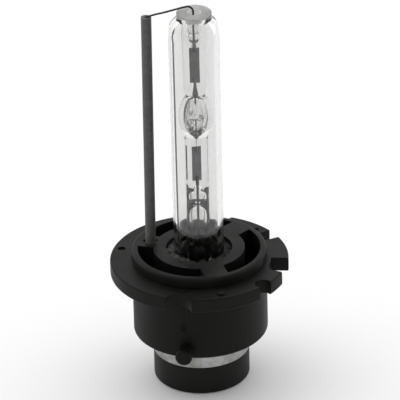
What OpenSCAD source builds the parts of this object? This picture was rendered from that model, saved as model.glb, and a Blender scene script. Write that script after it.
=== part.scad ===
// Gas-discharge headlight bulb with a 32 mm prefocus flange cap.
// Frame: +Z runs along the bulb axis towards the tip, and z = 0 is the top face of the flange.
// All lengths are in millimetres and all angles in degrees, counted from +X towards +Y.

/* [Cap] */
// Radius of the prefocus flange
flange_r = 16; // [15.6:0.1:16.4]
// Thickness of the flange
flange_t = 2.65; // [2.2:0.05:3]
// Radius of the cap body and of the centring collar above the flange
body_r = 12.1; // [12:0.05:12.2]
// Height of the collar's top face above the flange
collar_h = 2; // [1.8:0.1:2.4]
// Depth of the body's lower face below the flange's top face
body_depth = 14.2; // [14:0.1:15]
// Depth of the arc-shaped slots below the collar's top face
slot_depth = 9.4; // [4:0.2:9.4]

/* [Connector side] */
// Height of the side contact ring
ring_h = 3.85; // [3:0.05:4.2]
// Radius of the lower socket cylinder and of the contact ring, which is flush with it
socket_r = 8.65; // [8.6:0.05:8.65]
// Depth of the socket's foot below the flange's top face
socket_depth = 23.5; // [22.8:0.1:24.5]
// Radius of the centre contact
pin_r = 2; // [1.8:0.1:2.1]
// Radius of each bayonet peg
peg_r = 1.5; // [1.2:0.05:1.5]

/* [Burner] */
// Radius of the outer quartz envelope
envelope_r = 4.5; // [4.4:0.05:4.6]
// Wall of the outer quartz envelope
envelope_wall = 1; // [0.9:0.05:1.1]
// Height of the ground top end of the envelope
tip_z = 48.4; // [48:0.1:49]
// Height of the middle of the arc
arc_z = 28.4; // [28.2:0.1:28.6]
// Distance between the two electrode tips
arc_gap = 2.9; // [2.6:0.1:3.2]
// Radius of the ceramic tube that holds the return wire
ceramic_r = 0.93; // [0.85:0.01:0.95]

/* [Hidden] */
$fn = 96;
eps = 0.05;     // how far a cutter runs past the face it cuts

// Cap
edge = 0.5;               // rounding of the collar, the body and the foot
flange_edge = 0.3;        // rounding of the flange's two outer edges
web_at = [45, 164, 286];  // three webs stand between the slots
boss_angles = [45, 285];  // low reference bosses on the flange
sunk_angle = 165;         // the third reference mark is sunk
web_w = 4.2;
slot_r0 = 8.2;
slot_r1 = 11;
boss_r = 0.7;
boss_h = 0.35;
boss_at_r = 14.4;
recess_r = 5.95;          // well around the foot of the envelope
recess_floor = -3;
neck_bore_r = 2.6;
floor_z = -8;             // roof of the bore that takes the socket insert
stem_r = 7.4;
stem_gap = 0.05;

// Flange cut-outs, as [first angle, last angle, floor radius]
gaps = [[-23.6, -4.6, 12.9], [24.8, 36.6, 13.2]];
scoop_at = -43.4;         // round-bottomed notch beside the keying lug
scoop_r = 1.45;
peg_at = [-103, 77];      // the bayonet pegs, each below a notch in the flange
peg_z = 1.5 - body_depth;
peg_end_r = 14.9;
notch_r = 2.45;           // each notch is a round bite out of the flange's rim
notch_at_r = 16.45;
notch_turn = -1;          // the notch stands this many degrees to one side of its peg
groove_r = 1.2;
groove_depth = 0.07;
groove_end_z = -7;
dimple_r = 0.8;
dimple_depth = 0.35;
dimple_z = -8.1;
dimple_turn = -1.5;

// Socket insert, contacts and the side tab
body_z = -body_depth;
foot_z = -socket_depth;
ring_wall = 0.35;
ring_z0 = body_z - ring_h;
well_r = 6.9;
well_roof = -16.4;
pin_tip_z = -21.8;
pin_shoulder_z = -12.6;
pin_stem_r = 1.2;
pin_bore_r = 0.45;
tab_top = -9.4;           // a tab of the ring runs up inside the cap to the return wire
tab_angle = 13;
tab_r = 8.83;
tab_slot = [1.15, 2.5];   // depth and width of the slot that the tab stands in
tab_slot_gap = 0.1;
weld_r = 0.42;
solder_r = 1.1;
solder_h = 0.55;

// Burner
neck_r = 2.12;
neck_z0 = -7;
envelope_z0 = -2.6;
cement_top = 1.1;
tip_r = 3.1;              // the ground end is a short cylinder
tip_h = 1.1;
shoulder_z = 44.8;
shoulder_a = 2.2;         // half-axes of the ellipse that the shoulder follows
shoulder_h = 2.65;
space_top = 45.2;         // top of the gas space at the envelope's wall
bulb_a = 3.07;            // radius of the discharge bulb at its middle
bulb_h = 4.75;            // half-axis of the bulb's ellipse
chamber_a = 1.4;
chamber_h = 3.8;
waist_r = 1.7;            // where the bulb meets each neck
waist_h = bulb_h * sqrt(1 - pow(waist_r / bulb_a, 2));
neck_round = neck_r - waist_r;
bore_z = 42.2;            // bottom of the upper neck's open bore
seal_bottom = 13.2;       // end of the solid lower neck, below the arc
throat_z = 10.9;          // constriction in the lower neck's bore
foil_w = 1.15;
foil_t = 0.06;
foil_l = 6.8;
upper_foil_z = 35.2;      // lower end of each foil
lower_foil_z = 15.9;
lower_foil_turn = 23;
arc_shift = 0.65;         // how far the electrode gap sits above the bulb's middle
rod_r = 0.15;             // electrodes
lead_r = 0.2;
foil_grip = 1;            // length over which the foil lies on each wire
foil_y = 0.13;            // the foil's near face, pressed a little into the rods it is welded to
fit_gap = 0.02;
// Frozen salts, as [azimuth, height above the bulb's middle, ball radius]
salts = [[-60, -1.6, 0.42], [10, -2, 0.5], [95, -1.4, 0.36], [200, -2.3, 0.45], [-20, 0.5, 0.3]];
// Mercury, as [distance from the axis, azimuth, height above the bulb's middle, radius]
beads = [[0.8, -130, -1.55, 0.2], [0.72, 150, -2, 0.16], [0.9, 45, -1.2, 0.14]];

// Return side
tube_angle = 165.5;       // the ceramic tube stands in one web
tube_top = [8.5, 46.67];  // [distance from the axis, height] of the ceramic tube's top
tube_foot_z = -4;
tube_bore_r = 0.33;
tube_pocket_r = 1.02;
tube_pocket_z = -6;
ears = [2.6, 0.75];       // length and width of the mould line that crosses the tube's pocket
ears_y = 0.25;            // how far behind the tube's middle the line begins
wire_channel_r = 0.5;
wire_r = 0.175;
weld_gap = 0.05;
wire_end = [tab_r + wire_r + weld_gap, -11.6];
tube_foot = wire_end + (tube_top - wire_end) * (tube_foot_z - wire_end[1]) / (tube_top[1] - wire_end[1]);
slope = 20;               // fall of the wire from the tip to the ceramic tube
tip_bend_r = 0.9;
tip_bend_z = 48.5;
tube_bend_r = 0.4;
joint_z = 42.9;           // where the return wire meets the upper lead
sides = 24;               // flats round each wire

// ---------- helpers ----------

function polar(r, a) = [r * cos(a), r * sin(a)];
// Points of an arc of an ellipse in the (radius, height) plane, from angle a0 to a1
function arc(centre, rx, rz, a0, a1, steps = 24) =
    [for (i = [0:steps]) let (a = a0 + (a1 - a0) * i / steps) centre + [rx * cos(a), rz * sin(a)]];

module at(r, a, z = 0) {
    rotate([0, 0, a]) translate([r, 0, z]) children();
}

// A flat sector between two angles, out to a radius
module sector(a0, a1, r) {
    steps = 8;
    polygon([[0, 0], for (i = [0:steps]) polar(r / cos((a1 - a0) / steps / 2), a0 + (a1 - a0) * i / steps)]);
}

module flat_ring(r0, r1) {
    difference() {
        circle(r1);
        circle(r0);
    }
}

module ring_sector(r0, r1, a0, a1) {
    intersection() {
        flat_ring(r0, r1);
        sector(a0, a1, r1 + 1);
    }
}

// Half-section of a solid disc or cylinder with its outer corners rounded
module disc_section(r, z0, z1, round_low, round_high) {
    translate([0, z0 + round_low]) square([r, z1 - z0 - round_low - round_high]);
    translate([0, z0]) square([r - round_low, round_low + eps]);
    translate([0, z1 - round_high - eps]) square([r - round_high, round_high + eps]);
    translate([r - round_low, z0 + round_low]) circle(round_low);
    translate([r - round_high, z1 - round_high]) circle(round_high);
}

module tube(r0, r1, z0, z1) {
    translate([0, 0, z0]) difference() {
        cylinder(r = r1, h = z1 - z0);
        translate([0, 0, -eps]) cylinder(r = r0, h = z1 - z0 + 2 * eps);
    }
}

module bore(r, z0, z1) {
    translate([0, 0, z0]) cylinder(r = r, h = z1 - z0);
}

// A round rod from p to q, two points in the upright plane through the axis at tube_angle
module rod(p, q, r) {
    d = q - p;
    rotate([0, 0, tube_angle]) translate([p[0], 0, p[1]])
        rotate([0, atan2(d[0], d[1]), 0]) cylinder(r = r, h = norm(d), $fn = 48);
}

// A round wire along stations [distance from the axis, height, heading angle] in that plane
module wire(path, r) {
    n = len(path);
    rotate([0, 0, tube_angle]) polyhedron(
        points = [for (p = path, i = [0:sides - 1]) let (t = 360 * i / sides)
            [p[0] - r * cos(t) * sin(p[2]), r * sin(t), p[1] + r * cos(t) * cos(p[2])]],
        faces = [
            [for (i = [sides - 1:-1:0]) i],
            [for (i = [0:sides - 1]) (n - 1) * sides + i],
            for (k = [0:n - 2], i = [0:sides - 1]) let (j = (i + 1) % sides)
                [k * sides + i, k * sides + j, (k + 1) * sides + j, (k + 1) * sides + i]]);
}

// Stations of a bend to the right, from heading h0 down to heading h1
function stations(centre, bend_r, h0, h1, steps = 10) =
    [for (i = [0:steps]) let (h = h0 + (h1 - h0) * i / steps)
        [centre[0] - bend_r * sin(h), centre[1] + bend_r * cos(h), h]];

// ---------- cap ----------

module flange_cuts() {
    for (g = gaps) ring_sector(g[2], flange_r + 1, g[0], g[1]);
    rotate(scoop_at) {
        translate([flange_r - 0.7, 0]) circle(scoop_r);
        translate([flange_r - 0.7, -scoop_r]) square([2, 2 * scoop_r]);
    }
    for (a = peg_at) rotate(a + notch_turn) translate([notch_at_r, 0]) circle(notch_r);
}

module flange() {
    difference() {
        rotate_extrude() disc_section(flange_r, -flange_t, 0, flange_edge, flange_edge);
        translate([0, 0, -flange_t - eps]) linear_extrude(flange_t + 2 * eps) flange_cuts();
        at(boss_at_r, sunk_angle, -boss_h) cylinder(r = boss_r, h = 1, $fn = 32);
    }
    for (a = boss_angles) at(boss_at_r, a, -eps) cylinder(r = boss_r, h = boss_h + eps, $fn = 32);
}

module pegs() {
    for (a = peg_at) rotate([0, 0, a]) translate([body_r - 1, 0, peg_z]) rotate([0, 90, 0]) {
        cylinder(r = peg_r, h = peg_end_r - body_r + 1 - edge, $fn = 64);
        translate([0, 0, peg_end_r - body_r + 1]) mirror([0, 0, 1])
            rotate_extrude($fn = 64) disc_section(peg_r, 0, 1, edge, 0.01);
    }
}

// Three slots round the burner, parted by webs with parallel sides
module slots() {
    translate([0, 0, collar_h - slot_depth]) linear_extrude(slot_depth + eps) difference() {
        flat_ring(slot_r0, slot_r1);
        for (a = web_at) rotate(a) translate([0, -web_w / 2]) square([flange_r, web_w]);
    }
}

// Mould marks on the body's side above each peg: a shallow groove and a dimple
module mould_marks() {
    for (a = peg_at) {
        at(body_r + groove_r - groove_depth, a, groove_end_z)
            cylinder(r = groove_r, h = -groove_end_z - flange_t, $fn = 48);
        at(body_r + dimple_r - dimple_depth, a + dimple_turn, dimple_z) sphere(r = dimple_r, $fn = 48);
    }
}

// Hole for the ceramic tube's foot, the wire below it and the contact ring's tab
module return_channel() {
    rotate([0, 0, tube_angle]) {
        translate([tube_foot[0], 0, tube_pocket_z])
            cylinder(r = tube_pocket_r, h = collar_h - tube_pocket_z + eps, $fn = 48);
        translate([tube_foot[0], 0, body_z - 1]) cylinder(r = wire_channel_r, h = -body_z, $fn = 48);
        translate([tab_r - ring_wall - tab_slot_gap, -tab_slot[1] / 2, body_z - 1])
            cube([tab_slot[0], tab_slot[1], tab_top + tab_slot_gap - body_z + 1]);
    }
    translate(polar(tube_foot[0], tube_angle)) translate([-ears[0] / 2, ears_y, 0])
        cube([ears[0], ears[1], collar_h + eps]);
}

module cap_housing() {
    color([0.13, 0.13, 0.12]) difference() {
        union() {
            rotate_extrude() disc_section(body_r, body_z, collar_h, edge, edge);
            flange();
            pegs();
        }
        slots();
        mould_marks();
        return_channel();
        bore(recess_r, recess_floor, collar_h + eps);
        bore(neck_bore_r, floor_z - eps, collar_h);
        bore(stem_r + stem_gap, body_z - eps, floor_z);
    }
}

// ---------- connector side ----------

module pin_outline() {
    bore(pin_r, pin_tip_z, pin_shoulder_z);
    bore(pin_stem_r, pin_shoulder_z - eps, floor_z - stem_gap);
}

module socket_insert() {
    color([0.12, 0.12, 0.11]) difference() {
        union() {
            rotate_extrude() disc_section(socket_r, foot_z, ring_z0, edge, 0.15);
            bore(socket_r - ring_wall, ring_z0 - eps, body_z);
            bore(stem_r, body_z - eps, floor_z - stem_gap);
        }
        bore(well_r, foot_z - eps, well_roof);
        pin_outline();
    }
}

module contact_ring() {
    color([0.67, 0.67, 0.65]) {
        tube(socket_r - ring_wall, socket_r, ring_z0, body_z);
        translate([0, 0, body_z]) linear_extrude(tab_top - body_z)
            ring_sector(tab_r - ring_wall, tab_r, tube_angle - tab_angle / 2, tube_angle + tab_angle / 2);
    }
}

module centre_contact() {
    color([0.72, 0.7, 0.66]) difference() {
        union() {
            rotate_extrude() disc_section(pin_r, pin_tip_z, pin_shoulder_z, edge, 0.1);
            bore(pin_stem_r, pin_shoulder_z - eps, floor_z - stem_gap);
        }
        bore(pin_bore_r, pin_tip_z - eps, 0);
    }
}

module lower_lead_outline() {
    bore(lead_r, pin_tip_z - 0.1, lower_foil_z + foil_grip);
}

module centre_solder() {
    color([0.75, 0.75, 0.74]) difference() {
        union() {
            intersection() {
                translate([0, 0, pin_tip_z + solder_r - solder_h]) sphere(r = solder_r, $fn = 64);
                bore(pin_r, pin_tip_z - pin_r, pin_tip_z);
            }
            bore(pin_bore_r, pin_tip_z - eps, pin_tip_z + solder_h);
        }
        lower_lead_outline();
    }
}

// Weld nugget between the return wire's end and the ring's tab
module ring_weld() {
    color([0.6, 0.6, 0.6]) difference() {
        rotate([0, 0, tube_angle]) translate([tab_r + 2 * weld_gap, 0, wire_end[1] + 1.5 * weld_r])
            sphere(r = weld_r, $fn = 48);
        bore(tab_r, body_z, 0);
        rod(tube_top, wire_end, wire_r);
    }
}

// ---------- burner ----------

// Outer skin of the envelope in half-section: straight wall, round shoulder, ground end
module envelope_section() {
    shoulder_end = acos((tip_r - envelope_r + shoulder_a) / shoulder_a);
    polygon([
        [0, envelope_z0], [envelope_r, envelope_z0],
        each arc([envelope_r - shoulder_a, shoulder_z], shoulder_a, shoulder_h, 0, shoulder_end),
        [tip_r, tip_z - tip_h + eps], [tip_r, tip_z], [0, tip_z]]);
}

// The gas space between envelope and arc tube, closed by a rounded funnel at each end
module envelope_space() {
    r = envelope_r - envelope_wall;
    polygon([
        [0, 0.2],
        each arc([neck_r, 1.8], r - neck_r, 1.6, -90, 0),
        each arc([neck_r, space_top], r - neck_r, 0.7, 0, 90),
        [0, space_top + 0.7]]);
}

module outer_envelope() {
    color([0.85, 0.88, 0.9, 0.35]) difference() {
        rotate_extrude() envelope_section();
        rotate_extrude() envelope_space();
        bore(neck_r, envelope_z0 - 1, tip_z + 1);
    }
}

// Arc tube in half-section: necks with rounded ends and the olive-shaped bulb between them
module arc_tube_section() {
    neck_at = arc_z + waist_h + neck_round;
    tilt = asin(waist_h / bulb_h);
    polygon([
        [0, neck_z0], [neck_r, neck_z0],
        each arc([waist_r, 2 * arc_z - neck_at], neck_round, neck_round, 0, 90, 8),
        each arc([0, arc_z], bulb_a, bulb_h, -tilt, tilt, 32),
        each arc([waist_r, neck_at], neck_round, neck_round, -90, 0, 8),
        [neck_r, tip_z], [0, tip_z]]);
}

// Discharge chamber, drawn out to a point along each electrode
module chamber_section() {
    tip = chamber_h + 1.1;
    polygon([
        [0, arc_z - tip], [rod_r + fit_gap, arc_z - tip + 0.2],
        each arc([0, arc_z], chamber_a, chamber_h, -76, 76, 28),
        [rod_r + fit_gap, arc_z + tip - 0.2], [0, arc_z + tip]]);
}

// Bore of the upper neck, from its cone round the wire up past two collapse rings to the open mouth
module upper_bore_section() {
    polygon([
        [0, bore_z], [lead_r + fit_gap, bore_z], [0.45, bore_z + 0.2], [0.5, bore_z + 1.1], [0.84, bore_z + 1.8],
        each [for (ring = [2.4, 3.6]) each [
            [0.86, bore_z + ring], [0.74, bore_z + ring + 0.15], [0.86, bore_z + ring + 0.3]]],
        [0.9, bore_z + 4.4], [1.15, tip_z - 0.4], [1.15, tip_z + eps], [0, tip_z + eps]]);
}

// Bore of the lower neck: two round lobes with a throat between them, then a straight tube
module lower_bore_section() {
    z = arc_z - seal_bottom;
    polygon([
        [0, neck_z0 - eps], [1.2, neck_z0 - eps],
        each arc([0.5, throat_z - 2.1], 0.7, 2.1, 0, 90, 10),
        each arc([0.5, throat_z + 1.7], 0.7, 1.5, -90, 60, 14),
        [lead_r + fit_gap, z], [0, z]]);
}

module foil_outline(z) {
    translate([-foil_w / 2, foil_y, z]) cube([foil_w, foil_t, foil_l]);
}

module upper_foil_outline() {
    foil_outline(upper_foil_z);
}

module lower_foil_outline() {
    rotate([0, 0, lower_foil_turn]) foil_outline(lower_foil_z);
}

module upper_rod_outline() {
    bore(rod_r, arc_z + arc_shift + arc_gap / 2, upper_foil_z + foil_grip);
}

module lower_rod_outline() {
    bore(rod_r, lower_foil_z + foil_l - foil_grip, arc_z + arc_shift - arc_gap / 2);
}

module arc_tube() {
    color([0.86, 0.88, 0.9, 0.35]) difference() {
        rotate_extrude() arc_tube_section();
        rotate_extrude() chamber_section();
        rotate_extrude() upper_bore_section();
        rotate_extrude() lower_bore_section();
        upper_foil_outline();
        lower_foil_outline();
        upper_rod_outline();
        lower_rod_outline();
        bore(lead_r, upper_foil_z + foil_l - foil_grip, bore_z + eps);
        bore(lead_r, arc_z - seal_bottom - eps, lower_foil_z + foil_grip);
    }
}

module upper_foil() {
    color([0.42, 0.42, 0.41]) upper_foil_outline();
}

module lower_foil() {
    color([0.42, 0.42, 0.41]) lower_foil_outline();
}

module upper_electrode() {
    color([0.38, 0.38, 0.38]) difference() {
        upper_rod_outline();
        upper_foil_outline();
    }
}

module lower_electrode() {
    color([0.38, 0.38, 0.38]) difference() {
        lower_rod_outline();
        lower_foil_outline();
    }
}

module lower_lead() {
    color([0.33, 0.33, 0.33]) difference() {
        lower_lead_outline();
        lower_foil_outline();
    }
}

// Salt melts frozen on the chamber's lower wall: caps of small balls, cut to the wall
module halide_salts() {
    color([0.45, 0.45, 0.38]) intersection() {
        for (s = salts) at(chamber_a * sqrt(1 - pow(s[1] / chamber_h, 2)) + fit_gap, s[0], arc_z + s[1])
            sphere(r = s[2], $fn = 32);
        rotate_extrude() polygon(arc([0, arc_z], chamber_a - fit_gap, chamber_h - fit_gap, -90, 90, 28));
    }
}

module mercury_beads() {
    color([0.75, 0.75, 0.76]) for (m = beads) at(m[0], m[1], arc_z + m[2]) sphere(r = m[3], $fn = 32);
}

module burner_cement() {
    color([0.3, 0.3, 0.28]) {
        tube(envelope_r, recess_r, recess_floor, cement_top);
        tube(neck_r, neck_bore_r, neck_z0, envelope_z0);
        tube(neck_r, envelope_r + eps, recess_floor, envelope_z0);
    }
}

// ---------- return side ----------

module upper_lead() {
    color([0.3, 0.3, 0.3]) difference() {
        bore(lead_r, upper_foil_z + foil_l - foil_grip, joint_z);
        upper_foil_outline();
    }
}

// Crimped sleeve that joins the upper lead to the return wire, near the bottom of the bore
module lead_sleeve() {
    color([0.25, 0.25, 0.25]) difference() {
        rotate_extrude() polygon([[0, joint_z - 0.5], [0.27, joint_z - 0.5], [0.36, joint_z + 0.1],
            [0.36, joint_z + 0.45], [0.24, joint_z + 0.7], [0, joint_z + 0.7]]);
        bore(lead_r, joint_z - 1, joint_z);
        bore(wire_r, joint_z - eps, joint_z + 1);
    }
}

// The return wire leaves the bore, bends over the tip, falls to the ceramic tube and runs down to the ring
fall = [cos(slope), -sin(slope)];
tip_bend_end = [tip_bend_r, tip_bend_z] + tip_bend_r * [sin(slope), cos(slope)];
down = (wire_end - tube_top) / norm(wire_end - tube_top);
down_heading = atan2(down[1], down[0]);
// Corner where the falling line meets the line down the tube, and the bend that rounds it
to_top = tube_top - tip_bend_end;
corner = tip_bend_end
    + (to_top[0] * down[1] - to_top[1] * down[0]) / (fall[0] * down[1] - fall[1] * down[0]) * fall;
set_back = tube_bend_r * tan((-slope - down_heading) / 2);
tube_bend_at = corner - set_back * fall - tube_bend_r * [sin(slope), cos(slope)];
wire_path = [
    [0, joint_z, 90],
    each stations([tip_bend_r, tip_bend_z], tip_bend_r, 90, -slope),
    each stations(tube_bend_at, tube_bend_r, -slope, down_heading),
    [wire_end[0], wire_end[1], down_heading]];

module return_wire() {
    color([0.2, 0.2, 0.2]) wire(wire_path, wire_r);
}

module ceramic_tube() {
    color([0.3, 0.3, 0.28]) difference() {
        rod(tube_foot, tube_top, ceramic_r);
        rod(tube_foot - [0, 1], tube_top + [0, 1], tube_bore_r);
    }
}

// Plug of cement that seats the ceramic tube's foot in its pocket, with the wire running through it
module tube_cement() {
    color([0.25, 0.25, 0.23]) difference() {
        rotate([0, 0, tube_angle]) translate([tube_foot[0], 0, tube_pocket_z])
            cylinder(r = tube_pocket_r, h = tube_foot_z - tube_pocket_z + 0.5, $fn = 48);
        rod(tube_foot, tube_top, ceramic_r);
        rod(wire_end, tube_top, wire_r);
    }
}

cap_housing();
socket_insert();
contact_ring();
centre_contact();
centre_solder();
ring_weld();
burner_cement();
tube_cement();
outer_envelope();
arc_tube();
upper_foil();
lower_foil();
upper_electrode();
lower_electrode();
upper_lead();
lower_lead();
return_wire();
lead_sleeve();
ceramic_tube();
halide_salts();
mercury_beads();
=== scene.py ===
"""Looks for the gas-discharge headlight bulb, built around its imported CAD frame."""

import math
import random

import bpy
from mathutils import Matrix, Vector, noise


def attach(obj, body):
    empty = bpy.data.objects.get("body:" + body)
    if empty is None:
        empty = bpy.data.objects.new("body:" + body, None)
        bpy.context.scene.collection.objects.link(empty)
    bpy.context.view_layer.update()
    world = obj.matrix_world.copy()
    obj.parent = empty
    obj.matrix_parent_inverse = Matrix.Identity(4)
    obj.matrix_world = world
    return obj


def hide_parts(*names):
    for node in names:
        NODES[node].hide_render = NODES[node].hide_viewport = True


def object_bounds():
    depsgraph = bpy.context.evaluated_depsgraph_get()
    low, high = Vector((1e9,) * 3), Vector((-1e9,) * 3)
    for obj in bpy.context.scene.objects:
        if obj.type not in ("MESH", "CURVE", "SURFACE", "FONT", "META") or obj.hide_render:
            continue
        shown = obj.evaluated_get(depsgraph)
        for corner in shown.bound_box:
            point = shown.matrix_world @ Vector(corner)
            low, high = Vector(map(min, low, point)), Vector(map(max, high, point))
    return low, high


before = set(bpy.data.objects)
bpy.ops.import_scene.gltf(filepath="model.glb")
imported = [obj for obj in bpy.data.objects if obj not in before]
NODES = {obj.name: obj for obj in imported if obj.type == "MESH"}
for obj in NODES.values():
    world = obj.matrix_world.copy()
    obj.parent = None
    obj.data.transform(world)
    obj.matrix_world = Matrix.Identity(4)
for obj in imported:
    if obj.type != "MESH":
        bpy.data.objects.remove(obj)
cad_box = [list(corner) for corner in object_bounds()]
MM = 0.001


# ---------------------------------------------------------------- camera, floor and light

def link(name, data):
    """A new object for a mesh, curve, light or camera, linked into the scene."""
    ob = bpy.data.objects.new(name, data)
    bpy.context.collection.objects.link(ob)
    return ob


def make_camera():
    """The camera that fits the photo: a long lens, looking down on the flange."""
    cam = link("camera", bpy.data.cameras.new("camera"))
    cam.location = (0.0, -0.6569, 0.35954)
    cam.rotation_euler = [math.radians(a) for a in (62.0738, 1.2606, -0.7016)]
    cam.data.sensor_width = 36.0
    cam.data.lens = 376.23
    cam.data.clip_start = 0.05
    cam.data.clip_end = 20.0
    bpy.context.scene.camera = cam


def soft_light(name, where, aim, size, watts):
    """A white rectangular lamp that points at aim."""
    lamp = bpy.data.lights.new(name, "AREA")
    lamp.shape = "RECTANGLE"
    lamp.size, lamp.size_y = size
    lamp.energy = watts
    ob = link(name, lamp)
    ob.location = where
    ob.rotation_euler = (Vector(aim) - Vector(where)).to_track_quat("-Z", "Y").to_euler()


def make_world():
    """A white studio: bright above and behind, dimmer on the camera's side."""
    world = bpy.data.worlds.new("studio")
    bpy.context.scene.world = world
    world.use_nodes = True
    nt = world.node_tree
    nt.nodes.clear()
    out = nt.nodes.new("ShaderNodeOutputWorld")
    sky = nt.nodes.new("ShaderNodeBackground")
    where = nt.nodes.new("ShaderNodeTexCoord")
    split = nt.nodes.new("ShaderNodeSeparateXYZ")
    nt.links.new(where.outputs["Generated"], split.inputs[0])
    strength = remap(nt, split.outputs["Y"], -0.75, 0.35, 0.36, 1.42, "SMOOTHSTEP")
    nt.links.new(strength, sky.inputs["Strength"])
    sky.inputs["Color"].default_value = (1, 1, 1, 1)
    nt.links.new(sky.outputs[0], out.inputs["Surface"])


def make_floor():
    """White paper under the bulb, which stands on the lowest point of the CAD."""
    size = 3.0
    z = cad_box[0][2]
    mesh = bpy.data.meshes.new("floor")
    corners = [(-size, -size, z), (size, -size, z), (size, size, z), (-size, size, z)]
    mesh.from_pydata(corners, [], [(0, 1, 2, 3)])
    floor = link("floor", mesh)
    mat, _, bsdf = principled("floor_paper", (0.93, 0.93, 0.93), 0.9)
    bsdf.inputs["Specular IOR Level"].default_value = 0.1
    mesh.materials.append(mat)


# ---------------------------------------------------------------- material helpers

QUARTZ_IOR = 1.458


def principled(name, colour, roughness, metallic=0.0):
    """A plain material, its node tree and its shader node."""
    mat = bpy.data.materials.new(name)
    mat.use_nodes = True
    nt = mat.node_tree
    bsdf = nt.nodes["Principled BSDF"]
    bsdf.inputs["Base Color"].default_value = (*colour, 1)
    bsdf.inputs["Roughness"].default_value = roughness
    bsdf.inputs["Metallic"].default_value = metallic
    return mat, nt, bsdf


def noise_node(nt, scale, detail, rough, stretch=(1, 1, 1)):
    """Noise over the object's own coordinates; scale counts waves per metre."""
    coord = nt.nodes.new("ShaderNodeTexCoord")
    mapping = nt.nodes.new("ShaderNodeMapping")
    mapping.inputs["Scale"].default_value = stretch
    tex = nt.nodes.new("ShaderNodeTexNoise")
    tex.inputs["Scale"].default_value = scale
    tex.inputs["Detail"].default_value = detail
    tex.inputs["Roughness"].default_value = rough
    nt.links.new(coord.outputs["Object"], mapping.inputs["Vector"])
    nt.links.new(mapping.outputs["Vector"], tex.inputs["Vector"])
    return tex.outputs["Fac"]


def remap(nt, value, low, high, to_low, to_high, way="LINEAR"):
    """The socket's value, moved from the range low..high to to_low..to_high and held inside it."""
    node = nt.nodes.new("ShaderNodeMapRange")
    node.interpolation_type = way
    for key, v in (("From Min", low), ("From Max", high), ("To Min", to_low), ("To Max", to_high)):
        node.inputs[key].default_value = v
    nt.links.new(value, node.inputs["Value"])
    return node.outputs["Result"]


def mix_colours(nt, factor, a, b):
    """A blend from a to b. Each is a colour, or a socket that gives one."""
    node = nt.nodes.new("ShaderNodeMix")
    node.data_type = "RGBA"
    nt.links.new(factor, node.inputs["Factor"])
    for socket, c in ((node.inputs[6], a), (node.inputs[7], b)):
        if hasattr(c, "is_linked"):
            nt.links.new(c, socket)
        else:
            socket.default_value = (*c, 1)
    return node.outputs[2]


def bump(nt, bsdf, height, strength, distance, under=None):
    """Relief of a depth in metres, on top of the relief that under gives."""
    node = nt.nodes.new("ShaderNodeBump")
    node.inputs["Strength"].default_value = strength
    node.inputs["Distance"].default_value = distance
    nt.links.new(height, node.inputs["Height"])
    if under is not None:
        nt.links.new(under, node.inputs["Normal"])
    nt.links.new(node.outputs["Normal"], bsdf.inputs["Normal"])
    return node.outputs["Normal"]


def plastic(name, dark, light, rough_low, rough_high, specular):
    """Moulded matt plastic: fine spark-eroded grain, faint flow marks and dust."""
    mat, nt, bsdf = principled(name, dark, rough_low)
    flow = noise_node(nt, 160, 3, 0.5, (1, 1, 0.5))
    dust = noise_node(nt, 1400, 5, 0.7)
    grain = noise_node(nt, 6000, 2, 0.6)
    tone = mix_colours(nt, remap(nt, flow, 0.3, 0.7, 0, 1), dark, light)
    tone = mix_colours(nt, remap(nt, dust, 0.66, 0.82, 0, 0.35), tone, tuple(3 * c for c in light))
    nt.links.new(tone, bsdf.inputs["Base Color"])
    nt.links.new(remap(nt, flow, 0.3, 0.7, rough_low, rough_high), bsdf.inputs["Roughness"])
    bsdf.inputs["Specular IOR Level"].default_value = specular
    coarse = bump(nt, bsdf, flow, 0.25, 0.0002)
    bump(nt, bsdf, grain, 0.35, 0.00002, coarse)
    return mat


def metal(name, dark, light, rough_low, rough_high, scale=900, stretch=(1, 1, 1)):
    """Bare metal: drawn or rolled grain, and patches of dull oxide."""
    mat, nt, bsdf = principled(name, light, rough_low, 1.0)
    grain = noise_node(nt, scale, 4, 0.6, stretch)
    patch = noise_node(nt, 420, 4, 0.6)
    nt.links.new(mix_colours(nt, remap(nt, patch, 0.35, 0.65, 0, 1), dark, light), bsdf.inputs["Base Color"])
    nt.links.new(remap(nt, patch, 0.3, 0.7, rough_high, rough_low), bsdf.inputs["Roughness"])
    bump(nt, bsdf, grain, 0.4, 0.000006)
    return mat


def mineral(name, dark, light, scale, relief, rough, specular=0.3, pits=None):
    """Cement, ceramic or salt: speckled and rough."""
    mat, nt, bsdf = principled(name, dark, rough)
    body = noise_node(nt, scale, 6, 0.65)
    speck = noise_node(nt, scale * 4, 3, 0.6)
    tone = mix_colours(nt, remap(nt, body, 0.3, 0.7, 0, 1), dark, light)
    if pits:
        tone = mix_colours(nt, remap(nt, speck, 0.6, 0.72, 0, 0.7), tone, pits)
    nt.links.new(tone, bsdf.inputs["Base Color"])
    nt.links.new(remap(nt, speck, 0.3, 0.7, rough - 0.12, min(rough + 0.1, 1)), bsdf.inputs["Roughness"])
    bsdf.inputs["Specular IOR Level"].default_value = specular
    first = bump(nt, bsdf, body, 0.6, relief)
    bump(nt, bsdf, speck, 0.4, relief / 5, first)
    return mat


def painted_side_shade(mat, x0, x1, dark):
    """Painted shade: darkens a material from x0 to x1 along the object's own X axis and fully beyond x1, so
    that only the side below x0 looks lit.
    """
    nt = mat.node_tree
    colour = nt.nodes["Principled BSDF"].inputs["Base Color"]
    base = colour.links[0].from_socket
    coords = nt.nodes.new("ShaderNodeTexCoord")
    split = nt.nodes.new("ShaderNodeSeparateXYZ")
    nt.links.new(coords.outputs["Object"], split.inputs[0])
    shaded_side = remap(nt, split.outputs["X"], x0 * MM, x1 * MM, 0, 1)
    nt.links.new(mix_colours(nt, shaded_side, base, dark), colour)
    return mat


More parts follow.
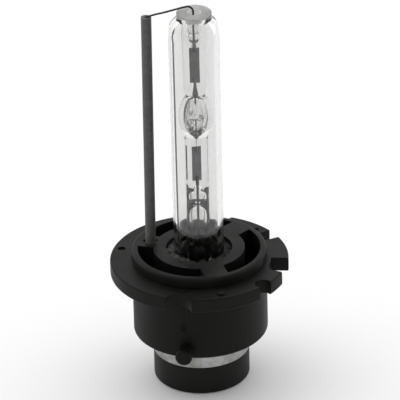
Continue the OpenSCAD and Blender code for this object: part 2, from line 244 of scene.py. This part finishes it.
def clear_quartz(name, tint):
    """Fused quartz, drawn lengthwise, so its faint waviness runs along the tube."""
    mat, nt, bsdf = principled(name, tint, 0.0)
    bsdf.inputs["Transmission Weight"].default_value = 1.0
    bsdf.inputs["IOR"].default_value = QUARTZ_IOR
    streak = noise_node(nt, 700, 3, 0.5, (1, 1, 0.04))
    bump(nt, bsdf, streak, 0.12, 0.00003)
    return mat


def ground_quartz(name, dark, light, clear):
    """Quartz with a coarse matt surface, as on the ground end face; clear is how much light goes through."""
    mat, nt, bsdf = principled(name, light, 0.8)
    bsdf.inputs["Transmission Weight"].default_value = clear
    bsdf.inputs["IOR"].default_value = QUARTZ_IOR
    grit = noise_node(nt, 3500, 5, 0.7)
    chips = noise_node(nt, 900, 3, 0.6)
    nt.links.new(mix_colours(nt, remap(nt, chips, 0.35, 0.7, 0, 1), dark, light), bsdf.inputs["Base Color"])
    nt.links.new(remap(nt, grit, 0.3, 0.7, 0.7, 0.95), bsdf.inputs["Roughness"])
    bump(nt, bsdf, grit, 0.5, 0.00002)
    return mat


# ---------------------------------------------------------------- shape helpers

def shade(mesh, sharp):
    """Smooth shading, apart from edges that are sharper than this angle in degrees."""
    mesh.polygons.foreach_set("use_smooth", [True] * len(mesh.polygons))
    mesh.set_sharp_from_angle(angle=math.radians(sharp))


def add_mesh(name, verts, faces, mats, sharp, face_mats=None):
    """A new mesh object. face_mats gives each face the number of its material in mats."""
    mesh = bpy.data.meshes.new(name)
    mesh.from_pydata(verts, [], faces)
    for mat in mats:
        mesh.materials.append(mat)
    if face_mats:
        mesh.polygons.foreach_set("material_index", face_mats)
    shade(mesh, sharp)
    mesh.validate()
    return link(name, mesh)


def join(verts, faces, more_verts, more_faces):
    """Adds a second mesh's points and faces to the first one's lists."""
    faces += [tuple(i + len(verts) for i in face) for face in more_faces]
    verts += more_verts


def slab_faces(rows, cols, base=0):
    """Faces of a thin slab of rows by cols cells. Its points, from base on, go by row, column and side."""
    def at(side, i, k):
        return base + 2 * (i * (cols + 1) + k) + side

    faces = []
    for i in range(rows):
        for k in range(cols):
            faces.append((at(0, i, k), at(0, i, k + 1), at(0, i + 1, k + 1), at(0, i + 1, k)))
            faces.append((at(1, i, k), at(1, i + 1, k), at(1, i + 1, k + 1), at(1, i, k + 1)))
        faces.append((at(0, i, 0), at(0, i + 1, 0), at(1, i + 1, 0), at(1, i, 0)))
        faces.append((at(0, i, cols), at(1, i, cols), at(1, i + 1, cols), at(0, i + 1, cols)))
    for k in range(cols):
        faces.append((at(0, 0, k), at(1, 0, k), at(1, 0, k + 1), at(0, 0, k + 1)))
        faces.append((at(0, rows, k), at(0, rows, k + 1), at(1, rows, k + 1), at(1, rows, k)))
    return faces


def turn(profile, segments, loop=False, wobble=None):
    """Vertices, faces and each face's span of a profile of (radius, height) points in mm turned about Z.
    Going up the profile puts the faces' normals outside. A radius of 0 closes the end, and loop closes the
    profile on itself. wobble(angle, radius, height) gives a change of radius in mm."""
    verts, rings, faces = [], [], []
    for r, z in profile:
        if r < 1e-6:
            rings.append([len(verts)])
            verts.append((0, 0, z * MM))
            continue
        ring = []
        for k in range(segments):
            a = 2 * math.pi * k / segments
            rr = r + (wobble(a, r, z) if wobble else 0)
            ring.append(len(verts))
            verts.append((rr * math.cos(a) * MM, rr * math.sin(a) * MM, z * MM))
        rings.append(ring)
    pairs = list(zip(rings, rings[1:]))
    if loop:
        pairs.append((rings[-1], rings[0]))
    spans = []
    for i, (low, high) in enumerate(pairs):
        for k in range(segments):
            n = (k + 1) % segments
            if len(low) == 1:
                faces.append((low[0], high[n], high[k]))
            elif len(high) == 1:
                faces.append((low[k], low[n], high[0]))
            else:
                faces.append((low[k], low[n], high[n], high[k]))
            spans.append(i)
    return verts, faces, spans


def ellipse(r, z, rr, rz, a0, a1, steps):
    """Points on an ellipse about (r, z) with half axes rr and rz, from angle a0 to a1 in degrees."""
    angles = [math.radians(a0 + (a1 - a0) * i / steps) for i in range(steps + 1)]
    return [(r + rr * math.cos(a), z + rz * math.sin(a)) for a in angles]


def line(p, q, steps):
    """Evenly spaced points from p to q."""
    return [(p[0] + (q[0] - p[0]) * i / steps, p[1] + (q[1] - p[1]) * i / steps) for i in range(steps + 1)]


def wire_piece(name, points, radius, mat, steps, bevel):
    """A round wire along a smoothed line through points in mm, as a mesh."""
    curve = bpy.data.curves.new(name, "CURVE")
    curve.dimensions = "3D"
    curve.bevel_depth = radius * MM
    curve.bevel_resolution = bevel
    curve.use_fill_caps = True
    spline = curve.splines.new("POLY")
    smooth = catmull(points, steps)
    spline.points.add(len(smooth) - 1)
    for p, q in zip(spline.points, smooth):
        p.co = (q[0] * MM, q[1] * MM, q[2] * MM, 1)
    tmp = link(name, curve)
    dg = bpy.context.evaluated_depsgraph_get()
    mesh = bpy.data.meshes.new_from_object(tmp.evaluated_get(dg))
    bpy.data.objects.remove(tmp)
    mesh.name = name
    mesh.materials.clear()
    mesh.materials.append(mat)
    shade(mesh, 50)
    return link(name, mesh)


def catmull(points, steps):
    """A Catmull-Rom curve through the points, with this many steps between each two."""
    pts = [Vector(p) for p in points]
    pts = [2 * pts[0] - pts[1]] + pts + [2 * pts[-1] - pts[-2]]
    out = []
    for i in range(1, len(pts) - 2):
        a, b, c, d = pts[i - 1:i + 3]
        for k in range(steps):
            t = k / steps
            out.append(0.5 * ((2 * b) + (c - a) * t + (2 * a - 5 * b + 4 * c - d) * t * t
                              + (3 * b - a - 3 * c + d) * t ** 3))
    out.append(pts[-2])
    return out


def settle(ob, slot, *nodes):
    """The piece rides on the one body and stands for the CAD nodes, which it hides; slot is not used."""
    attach(ob, "root")
    if nodes:
        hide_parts(*nodes)


# ---------------------------------------------------------------- burner

# Heights and radii in mm; z = 0 is the flange's top face
TUBE = 4.5          # outer radius of the outer tube
GAS = 3.5           # radius of the gas space inside the outer tube
FOOT = -2.6         # lower end of the outer tube
TIP = 48.4          # ground upper end of the outer tube
JOIN = 46.6         # height at which the outer tube is fused to the arc tube's upper neck
ARC = 28.4          # middle of the arc tube's bulb
NECK = 2.12         # outer radius of the arc tube's necks
NECK_FOOT = -7      # open end of the lower neck
BULB = (3.07, 4.75)                # radius and half height of the bulb
BORE = 0.9          # radius of the upper neck's bore at JOIN
LOWER_BORE = 1.2    # radius of the lower neck's bore below its lobes
THROAT = 0.5        # radius of the lower neck's bore between its lobes
UPPER_LOBE = (12.6, 0.72, 1.5)     # middle, extra radius beyond the throat's, and half height
LOWER_LOBE = (8.8, 0.7, 2.1)
CHAMBER = (1.4, 3.5, 28.65)        # radius, half height and middle of the discharge chamber
CEMENT = 1.0        # top of the cement in the cap's well, apart from its lumps
WELL_FLOOR = -2.95  # underside of that cement
RETURN_WIRE = 0.172                # radius of the return wire
DRAWN = (0.02, 3.1)                # amount and seed of the tubes' unevenness, the same where they meet
SEGMENTS = 160      # sides of the two tubes

# Clusters of salt flakes: azimuth and its spread, height above the chamber's middle and its spread, number of
# flakes, and their size
SALTS = ((-90, 120, -0.6, 1.6, 380, 0.045), (-90, 100, -2.2, 0.7, 330, 0.07), (180, 12, 1.2, 1.4, 420, 0.07),
         (-60, 7, 0.35, 0.2, 34, 0.06), (-47, 6, -0.05, 0.22, 36, 0.065), (-118, 9, 0.95, 0.2, 50, 0.05),
         (-105, 16, -0.1, 0.07, 60, 0.045), (-62, 9, -2.05, 0.25, 90, 0.08), (-122, 10, -2.05, 0.2, 80, 0.07),
         (-135, 14, -1.1, 0.5, 120, 0.05), (2, 10, -0.8, 1.4, 160, 0.06))
# Beads of mercury: distance from the axis, azimuth, height above ARC, size
BEADS = ((0.8, -130, -1.55, 0.2), (0.72, 150, -2, 0.16), (0.9, 45, -1.2, 0.14))
# Dark patches in the lower neck: azimuth, half its width in degrees, its lower and upper end, the height of
# its shelf, its inner radius above the shelf, its outer radius, and a seed for its ragged edge
DARK_PATCHES = ((0, 13, 6.5, 14.3, 13.9, 0.8, 1.32, 1), (180, 12, 6.5, 15.0, 14.4, 1.2, 1.32, 6),
           (180, 4, 16.0, 22.8, 15.0, 1.18, 1.35, 3), (0, 2, 15.2, 24.2, 15.0, 1.37, 1.38, 8))


def uneven(amount, seed):
    """Small lengthwise unevenness of drawn quartz, as a change of radius in mm."""
    def change(a, r, z):
        p = Vector((1.3 * math.cos(a) + seed, 1.3 * math.sin(a), 0.02 * z))
        return amount * noise.noise(p)
    return change


def collapse_ring(z, r):
    """Where the softened bore of radius r has drawn in: a low ring inside it, in going-down order."""
    depth = 0.12
    shoulder = r - 0.4 * depth
    crest = r - depth
    return [(r, z + 0.17), (shoulder, z + 0.1), (crest, z + 0.02), (crest, z - 0.04), (shoulder, z - 0.11),
            (r, z - 0.17)]


def ease(t):
    """From 0 to 1 as t does, level at both ends and held outside them."""
    t = min(1, max(0, t))
    return t * t * (3 - 2 * t)


def lean(verts):
    """Moves the worked end sideways a little, as such ends never come out quite central."""
    shift, z0, z1 = 0.12 * MM, 45.5, 47.5
    return [(x + shift * ease((z / MM - z0) / (z1 - z0)), y, z) for x, y, z in verts]


def make_envelope(quartz, ground, frosted):
    """The outer tube. It is open where it is fused to the arc tube's neck, so that no surface parts them."""
    seam = NECK + 0.02
    # Down the gas space, up the outside, over the ground end and down the bore's mouth
    shoulder = [(NECK, JOIN), (2.75, 45.98)] + ellipse(NECK, 43.6, GAS - NECK, 2.6, 58, 0, 10)
    wall = line((GAS, 43.2), (GAS, -0.2), 12)
    bottom = ellipse(seam, -0.5, GAS - seam, 1.5, 0, -88, 10) + [(seam, FOOT)]
    outside = line((TUBE, FOOT), (TUBE, 44.8), 12) + ellipse(2.3, 44.8, 2.2, 2.65, 3, 66, 18)
    outside += [(3.12, 47.4), (3.09, 47.6), (3.09, 48.1)]
    end = [(3.08, 48.3), (3.03, TIP), (2.2, TIP), (1.22, TIP), (1.16, TIP - 0.05)]
    mouth = [(1.14, TIP - 0.4), (1.05, 47.7), (BORE, JOIN)]
    polished = shoulder + wall + bottom + outside
    verts, faces, spans = turn(polished + end + mouth, SEGMENTS, False, uneven(*DRAWN))
    first = len(polished) - 1
    rim = first + len(end) - 1
    clear_face, ground_face, frosted_face = range(3)
    face_mats = [clear_face if s < first else ground_face if s < rim else frosted_face for s in spans]
    piece = add_mesh("outer_tube", lean(verts), faces, [quartz, ground, frosted], 35, face_mats)
    settle(piece, "quartz", "outer_envelope")


def soft_max(a, b):
    """The larger of two radii, with the corner between them rounded off."""
    reach = 0.25
    h = max(0, reach - abs(a - b)) / reach
    return max(a, b) + h * h * reach / 4


def arc_tube_radius(z):
    """Outer radius of the arc tube at a height: the olive-shaped bulb, eased into the straight necks."""
    radius, half = BULB
    off = abs(z - ARC)
    # The neck narrows to a waist at the bulb, and widens again from start over the length rise
    waist, start, rise = (1.75, 3.6, 3.0) if z > ARC else (1.9, 3.3, 0.9)
    neck = waist + (NECK - waist) * ease((off - start) / rise)
    bulb = radius * math.sqrt(max(0, 1 - (off / half) ** 2))
    return soft_max(bulb, neck) if off < half + 0.05 else neck


def make_arc_tube(quartz):
    """The inner tube: its skin goes on into the lower bore. The upper bore and the chamber are inside it."""
    lower_bore = [(0, 15.2), (0.22, 15.15), (0.42, 14.9)] + ellipse(THROAT, *UPPER_LOBE, 80, -90, 16)
    lower_bore += ellipse(THROAT, *LOWER_LOBE, 90, 0, 14)
    lower_bore += line((LOWER_BORE, 8.4), (LOWER_BORE, NECK_FOOT), 4)
    skin = line((NECK, NECK_FOOT), (NECK, ARC - 5.2), 10)
    skin += [(arc_tube_radius(z), z) for z in (ARC - 5 + 0.1 * i for i in range(117))]
    skin += line((NECK, ARC + 6.8), (NECK, JOIN), 8)
    upper_bore = [(BORE, JOIN), (0.88, 46.3)] + collapse_ring(45.95, 0.87) + [(0.87, 45.4)]
    upper_bore += collapse_ring(44.75, 0.86) + [(0.84, 44.0), (0.72, 43.75), (0.55, 43.45), (0.5, 43.2)]
    upper_bore += [(0.46, 42.6), (0.4, 42.38), (0.24, 42.24), (0, 42.2)]
    radius, half, middle = CHAMBER
    chamber = [(0, middle + half + 0.3), (0.19, middle + half + 0.25)]
    chamber += ellipse(0, middle, radius, half, 76, -76, 36)
    chamber += [(0.19, middle - half - 0.25), (0, middle - half - 0.3)]
    verts, faces, _ = turn(lower_bore + skin, SEGMENTS, False, uneven(*DRAWN))
    join(verts, faces, *turn(upper_bore, SEGMENTS, False, uneven(*DRAWN))[:2])
    join(verts, faces, *turn(chamber, 96, False, uneven(0.03, 5.3))[:2])
    settle(add_mesh("arc_tube_piece", lean(verts), faces, [quartz], 35), "quartz", "arc_tube")


def lobe_radius(z):
    """Radius of the lower neck's bore at a height. Below the lower lobe's middle the bore is straight."""
    middle, width, half = UPPER_LOBE
    if z < middle - half:
        middle, width, half = LOWER_LOBE
        z = max(z, middle)
    return THROAT + width * math.sqrt(max(0, 1 - ((z - middle) / half) ** 2))


def make_dark_patches(mat):
    """Dark patches in the lower neck's glass, beside the bore's lobes and throat and beside the foil."""
    cols, rows = 12, 60
    verts, faces = [], []
    for azimuth, half, z0, z1, shelf, shelf_r, far_r, seed in DARK_PATCHES:
        faces += slab_faces(rows, cols, len(verts))
        for i in range(rows + 1):
            z = z0 + (z1 - z0) * i / rows
            spread = half * (1 - 0.15 * abs(noise.noise(Vector((seed, z, 2)))))
            for k in range(cols + 1):
                u = 2 * k / cols - 1
                a = math.radians(azimuth + spread * u)
                rough = noise.fractal(Vector((2.2 * z, 1.7 * u, seed)), 1, 2, 3)
                inner = shelf_r if z > shelf else lobe_radius(z) + 0.03
                outer = max(inner + 0.02, far_r + 0.04 * rough)
                top = z + (0.12 * rough if i == rows else 0)
                for r in (outer, inner):
                    verts.append((r * math.cos(a) * MM, r * math.sin(a) * MM, top * MM))
    settle(add_mesh("neck_dark_patches", verts, faces, [mat], 60), "salt")


def make_foil(name, z0, turn_by, mat, node, seed):
    """A molybdenum foil: thin, with feathered edges, faint crinkles and a slightly uneven outline."""
    wide, tall, thick = 1.15, 6.8, 0.06
    behind = 0.16     # how far behind the axis it lies, where its wires end on it
    cols, rows = 12, 60
    c, n = math.cos(math.radians(turn_by)), math.sin(math.radians(turn_by))
    verts = []
    for i in range(rows + 1):
        v = i / rows
        z = z0 + 0.01 + v * (tall - 0.02)
        for k in range(cols + 1):
            u = 2 * k / cols - 1
            edge = 0.02 * noise.noise(Vector((3.0 * v + seed, 4 * u, seed)))
            crinkle = 0.022 * noise.noise(Vector((2.5 * u, 9 * v, seed)))
            x = u * (wide / 2 - 0.015 + edge * abs(u))
            half = thick / 2 * (1 - 0.75 * abs(u) ** 3)
            for y in (behind + crinkle - half, behind + crinkle + half):
                verts.append(((x * c - y * n) * MM, (x * n + y * c) * MM, z * MM))
    settle(add_mesh(name, verts, slab_faces(rows, cols), [mat], 50), "foil", node)


def make_rod(name, z0, z1, radius, mat, slot, node, melted=None, swelling=(), painted_highlight=None):
    """A drawn rod with slightly worn ends; melted names the end, top or bottom, that is a melted ball.
    swelling lists extra (radius, height) points for where the rod is sealed in.
    painted_highlight is a second, near-white metal for the stretch between the first and the last of these
    points: a painted highlight on the sealed stretch."""
    edge = 0.35 * radius
    ball, ball_half = 1.18 * radius, 1.15 * radius
    low = [(0, z0), (radius - edge, z0), (radius, z0 + edge)]
    high = [(radius, z1 - edge), (radius - edge, z1), (0, z1)]
    if melted == "top":
        high = ellipse(0, z1 - ball_half, ball, ball_half, -35, 90, 10)
    if melted == "bottom":
        low = ellipse(0, z0 + ball_half, ball, ball_half, -90, 35, 10)
    middle = [(radius, z0 + 3 * radius), *swelling, (radius, z1 - 3 * radius)]
    verts, faces, spans = turn(low + middle + high, 32, False, uneven(0.006, z0))
    mats, face_mats = [mat], None
    if painted_highlight:
        mats.append(painted_highlight)
        first = len(low) + 1
        face_mats = [1 if first <= s < first + len(swelling) - 1 else 0 for s in spans]
    settle(add_mesh(name, verts, faces, mats, 40, face_mats), slot, node)


def make_cement(mat):
    """The lumpy cement that fills the cap's well round the foot of the burner, and the neck's open end."""
    r0, r1 = TUBE + 0.035, 5.93
    segments, rows = 300, 16
    loop_len = rows + 3
    verts, faces = [], []
    for k in range(segments):
        a = 2 * math.pi * k / segments
        column = [(r0, WELL_FLOOR)]
        for i in range(rows + 1):
            t = i / rows
            r = r0 + (r1 - r0) * t
            p = Vector((r * math.cos(a), r * math.sin(a), 0))
            lump = noise.fractal(p * 0.9 + Vector((4, 9, 1)), 0.9, 2.0, 4)
            fine = noise.fractal(p * 5, 0.8, 2.0, 3)
            climb = 0.5 * (1 - t) ** 3 + 0.15 * t ** 4
            column.append((r, min(1.95, CEMENT + climb + 0.5 * lump + 0.12 * fine)))
        column.append((r1, WELL_FLOOR))
        verts += [(r * math.cos(a) * MM, r * math.sin(a) * MM, z * MM) for r, z in column]
    for k in range(segments):
        n = (k + 1) % segments
        for i in range(loop_len):
            m = (i + 1) % loop_len
            faces.append((k * loop_len + i, k * loop_len + m, n * loop_len + m, n * loop_len + i))

    def lumpy(a, r, z):
        on_plug = 0.5 < r < 2
        return 0.06 * noise.noise(Vector((3 * math.cos(a), 3 * math.sin(a), 2 * z))) if on_plug else 0

    plug = [(0.25, -5.9), (1.1, -5.9)] + line((1.12, -5.5), (1.1, 1.6), 20)
    plug += [(0.9, 2.1), (0.5, 2.3), (0.25, 2.2)]
    seat_top = FOOT - 0.08
    seat = line((2.2, WELL_FLOOR), (TUBE, WELL_FLOOR), 4) + line((TUBE, seat_top), (2.2, seat_top), 12)
    join(verts, faces, *turn(plug, 64, True, lumpy)[:2])
    join(verts, faces, *turn(seat, 160, True, lumpy)[:2])
    settle(add_mesh("cement_bed", verts, faces, [mat], 60), "cement", "burner_cement")


def add_flake(verts, faces, rng, a, z, size):
    """One jagged salt flake, raised in its middle, at azimuth a and height z above the chamber's middle."""
    radius, half, middle = CHAMBER
    r = (radius + 0.025) * math.sqrt(1 - (z / half) ** 2)
    centre = Vector((r * math.cos(a), r * math.sin(a), middle + z))
    out = Vector((math.cos(a), math.sin(a), r * z / half ** 2 / radius)).normalized()
    side = Vector((-math.sin(a), math.cos(a), 0))
    up = out.cross(side)
    big = size * rng.uniform(0.5, 1.4)
    sides = rng.choice((5, 6, 7))
    base = len(verts)
    for k in range(sides):
        t = 2 * math.pi * k / sides
        w = big * rng.uniform(0.6, 1.25)
        q = centre + side * w * math.cos(t) + up * w * math.sin(t)
        wall = (radius + 0.02) * math.sqrt(max(0.01, 1 - ((q.z - middle) / half) ** 2))
        keep = wall / max(math.hypot(q.x, q.y), 0.01)
        verts.append((q.x * keep * MM, q.y * keep * MM, q.z * MM))
    for lift in (-0.006, 0.012):
        q = centre + out * lift
        verts.append((q.x * MM, q.y * MM, q.z * MM))
    for k in range(sides):
        n = (k + 1) % sides
        faces.append((base + n, base + k, base + sides))
        faces.append((base + k, base + n, base + sides + 1))


def make_salts(mat):
    """Salt film and flakes on the chamber's wall, set just into the quartz."""
    rng = random.Random(11)
    verts, faces = [], []
    for azimuth, spread, z_mid, z_spread, count, size in SALTS:
        for _ in range(count):
            a = math.radians(rng.gauss(azimuth, spread))
            z = rng.gauss(z_mid, z_spread)
            if abs(z) <= 0.92 * CHAMBER[1]:
                add_flake(verts, faces, rng, a, z, size)
    settle(add_mesh("salt_flakes", verts, faces, [mat], 80), "salt", "halide_salts")


def make_mercury(mat):
    """A few beads of mercury on the chamber's wall, slightly flattened."""
    verts, faces = [], []
    for r, azimuth, z, size in BEADS:
        a = math.radians(azimuth)
        x0, y0, z0 = r * math.cos(a) * MM, r * math.sin(a) * MM, (ARC + z) * MM
        bead, bead_faces, _ = turn(ellipse(0, 0, size, 0.92 * size, -90, 90, 16), 32)
        join(verts, faces, [(x + x0, y + y0, w + z0) for x, y, w in bead], bead_faces)
    settle(add_mesh("mercury_drops", verts, faces, [mat], 80), "mercury", "mercury_beads")


def make_return_wire(mat):
    """Out of the bore, over the tip, down to the ceramic tube and through it to the ring's tab.
    The path's points give the distance from the bulb's axis and the height."""
    azimuth = math.radians(165.5)
    slope = math.radians(20)
    bend_from, bend, corner_bend = 48.5, 0.9, 0.4     # height of the first bend, and the radii of both bends
    top, foot = (8.5, 46.67), (9.055, -11.6)
    path = [(0, 42.95), (0, 44.5), (0, 46.5), (0, 47.8), (0, bend_from)]
    for i in range(1, 9):
        h = math.radians(90) - (math.radians(90) + slope) * i / 8
        path.append((bend - bend * math.sin(h), bend_from + bend * math.cos(h)))
    start = path[-1]
    lean_in = math.atan2(foot[0] - top[0], top[1] - foot[1])
    turn_by = math.pi / 2 - slope - lean_in
    cut = corner_bend * math.tan(turn_by / 2)
    reach = top[0] - 0.004 - cut * math.cos(slope) - start[0]
    for t in (0.15, 0.35, 0.6, 0.8, 0.999):
        sway = 0.03 * math.sin(3 * math.pi * t)
        path.append((start[0] + t * reach, start[1] - t * reach * math.tan(slope) + sway))
    centre = (path[-1][0] - corner_bend * math.sin(slope), path[-1][1] - corner_bend * math.cos(slope))
    for i in range(1, 6):
        h = math.pi / 2 - slope - turn_by * i / 5
        path.append((centre[0] + corner_bend * math.cos(h), centre[1] + corner_bend * math.sin(h)))
    for t in (0.03, 0.3, 0.6, 0.999):
        path.append((top[0] + t * (foot[0] - top[0]), top[1] + t * (foot[1] - top[1])))
    points = [(out * math.cos(azimuth), out * math.sin(azimuth), z) for out, z in path]
    settle(wire_piece("return_wire_piece", points, RETURN_WIRE, mat, 3, 6), "return_wire", "return_wire")


# ---------------------------------------------------------------- assembly

make_camera()
make_world()
make_floor()
soft_light("key", (-0.5, 0.1, 0.9), (0, 0, 0), (0.8, 0.8), 1.2)

quartz = clear_quartz("quartz_clear", (0.835, 0.838, 0.83))
inner_quartz = clear_quartz("quartz_inner", (0.93, 0.932, 0.926))
ground = ground_quartz("quartz_ground", (0.5, 0.5, 0.49), (0.62, 0.62, 0.61), 0.6)
frosted = ground_quartz("quartz_frosted", (0.9, 0.9, 0.89), (0.98, 0.98, 0.97), 0)
cap_mat = plastic("cap_black", (0.005, 0.005, 0.0044), (0.009, 0.009, 0.008), 0.45, 0.6, 0.11)
socket_mat = plastic("socket_black", (0.006, 0.006, 0.005), (0.010, 0.010, 0.009), 0.45, 0.6, 0.16)
ring_mat = metal("ring_plate", (0.26, 0.26, 0.245), (0.46, 0.46, 0.445), 0.32, 0.5, 500, (1, 1, 6))
pin_mat = metal("contact_plate", (0.5, 0.49, 0.46), (0.68, 0.66, 0.62), 0.25, 0.4)
solder_mat = metal("solder_tin", (0.55, 0.55, 0.54), (0.75, 0.75, 0.74), 0.2, 0.4, 1500)
weld_mat = metal("weld_bead", (0.08, 0.08, 0.08), (0.25, 0.24, 0.23), 0.4, 0.6, 3000)
foil_mat = metal("foil_rolled", (0.13, 0.13, 0.13), (0.17, 0.17, 0.168), 0.45, 0.6, 1500, (4, 4, 1))
drawn = (1, 1, 0.1)   # grain that runs along a wire
# Painted highlight: a near-white tungsten, brighter than the metal really is, for a bright stretch of the
# lower electrode.
highlight_tungsten = metal("electrode_painted_highlight", (0.86, 0.86, 0.85), (0.95, 0.95, 0.94), 0.4, 0.55, 2500, drawn)
tungsten = metal("electrode_rod", (0.09, 0.09, 0.09), (0.15, 0.15, 0.15), 0.35, 0.5, 2500, drawn)
lead_mat = metal("lead_oxide", (0.02, 0.02, 0.02), (0.06, 0.055, 0.05), 0.4, 0.6, 2500, drawn)
# Painted shade on the cement: dark except on its left side, which is painted as the lit side.
cement_mat = painted_side_shade(mineral("cement_lumps", (0.03, 0.03, 0.025), (0.17, 0.167, 0.14), 900, 0.0002, 0.75),
                      -4.6, -2, (0.022, 0.022, 0.019))
ceramic_mat = mineral("ceramic_grey", (0.07, 0.07, 0.066), (0.11, 0.11, 0.104), 1200, 0.00003, 0.6, 0.35,
                      (0.03, 0.03, 0.03))
salt_mat = mineral("salt_crust", (0.05, 0.05, 0.042), (0.2, 0.2, 0.17), 2500, 0.00005, 0.7)
dark_patch_mat = mineral("dark_patches", (0.01, 0.01, 0.01), (0.03, 0.03, 0.028), 2500, 0.00003, 0.7, 0.2)
mercury_mat = metal("mercury_bead", (0.7, 0.7, 0.71), (0.8, 0.8, 0.81), 0.02, 0.08)

make_envelope(quartz, ground, frosted)
make_arc_tube(inner_quartz)
# A foil has its lower end and its angle about the axis, a rod its lower end, its upper end and its radius
make_foil("upper_foil_piece", 35.2, 0, foil_mat, "upper_foil", 1.7)
make_foil("lower_foil_piece", 15.9, 23, foil_mat, "lower_foil", 5.2)
make_rod("upper_electrode_rod", 30.5, 36.2, 0.15, tungsten, "electrode", "upper_electrode", "bottom",
         ((0.15, 32.3), (0.19, 32.55), (0.31, 32.85), (0.35, 33.1), (0.3, 33.5), (0.2, 34.3), (0.15, 34.9)))
# The lower electrode's sealed stretch carries the painted highlight.
make_rod("lower_electrode_rod", 21.7, 27.9, 0.115, tungsten, "electrode", "lower_electrode", "top",
         ((0.08, 22.8), (0.075, 23.2), (0.075, 24.3), (0.1, 24.7)), highlight_tungsten)
make_rod("upper_lead_rod", 41.0, 42.9, 0.2, lead_mat, "lead_wire", "upper_lead")
make_rod("lower_lead_rod", -21.9, 16.9, 0.2, lead_mat, "lead_wire", "lower_lead")
make_cement(cement_mat)
make_salts(salt_mat)
make_mercury(mercury_mat)
make_dark_patches(dark_patch_mat)
make_return_wire(lead_mat)

FINISHES = {
    "cap_housing": cap_mat, "socket_insert": socket_mat, "contact_ring": ring_mat, "centre_contact": pin_mat,
    "centre_solder": solder_mat, "ring_weld": weld_mat, "tube_cement": cement_mat, "lead_sleeve": weld_mat,
    "ceramic_tube": ceramic_mat,
}
for name, mat in FINISHES.items():
    for slot in NODES[name].material_slots:
        slot.material = mat

view = bpy.context.scene.view_settings
view.view_transform = "Standard"
view.look = "None"
